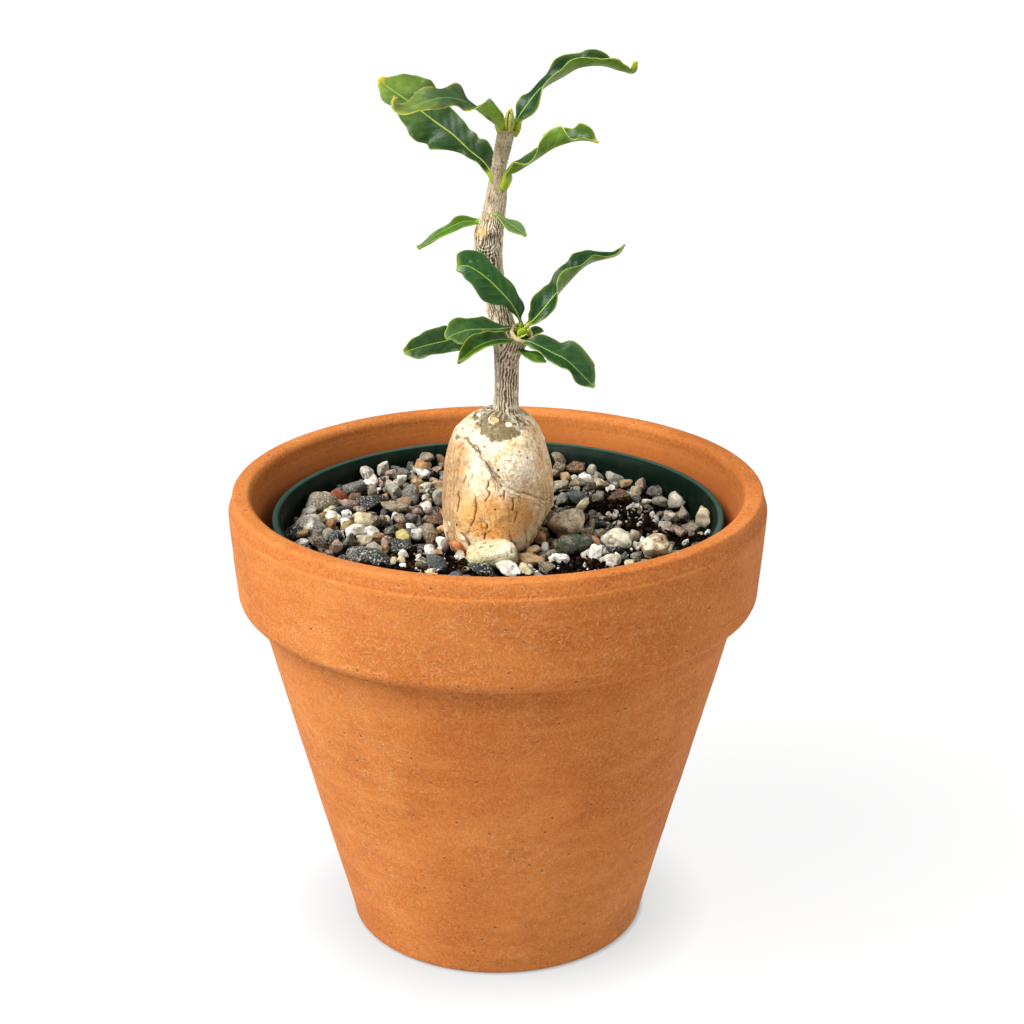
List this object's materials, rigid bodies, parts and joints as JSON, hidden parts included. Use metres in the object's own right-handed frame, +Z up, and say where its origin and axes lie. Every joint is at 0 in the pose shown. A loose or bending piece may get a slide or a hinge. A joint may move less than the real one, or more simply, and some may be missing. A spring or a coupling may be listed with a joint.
{
  "type": "potted caudiciform plant",
  "caption": "Small fockea with a swollen root, a woody stem and wavy leaves, in a plastic nursery pot inside a round terracotta pot topped with gravel.",
  "frame": {"origin": "middle of the terracotta pot's foot, on the surface that it stands on", "axes": "+Z up along the pots' axis; +X to the right and -Y to the front as the picture shows the plant, with the large pale stone on the -Y side of the swollen root"},
  "size_m": [0.133, 0.133, 0.2216],
  "materials": {
    "terracotta": "matte",
    "green_plastic": "satin",
    "mix": "matte",
    "stone_pale": "matte",
    "stone_grey": "matte",
    "bark_pale": "matte",
    "bark_grey": "matte",
    "leaf": "satin",
    "young_leaf": "satin"
  },
  "bodies": {
    "root": {"clay_pot": "terracotta", "nursery_pot": "green_plastic", "potting_mix": "mix", "caudex": "bark_pale", "stem": "bark_grey", "tip_bud": "young_leaf", "shoot_bud": "young_leaf", "leaf_top_left": "leaf", "leaf_top_front": "leaf", "leaf_top_right": "leaf", "leaf_upper_right": "leaf", "leaf_middle_left": "leaf", "leaf_middle_front": "leaf", "leaf_rosette_up_left": "leaf", "leaf_rosette_up_right": "leaf", "leaf_rosette_far_left": "leaf", "leaf_rosette_left": "leaf", "leaf_rosette_low_left": "leaf", "leaf_rosette_low_right": "leaf", "leaf_rosette_under": "leaf", "leaf_rosette_back": "leaf", "stone_pale_large": "stone_pale", "stone_mottled_left": "stone_pale", "stone_tan_right": "stone_pale", "stone_white_right": "stone_pale", "stone_yellow_right": "stone_pale", "stone_grey_left": "stone_grey", "stone_dark_right": "stone_grey", "stone_dark_front": "stone_grey"}
  },
  "joints": []
}
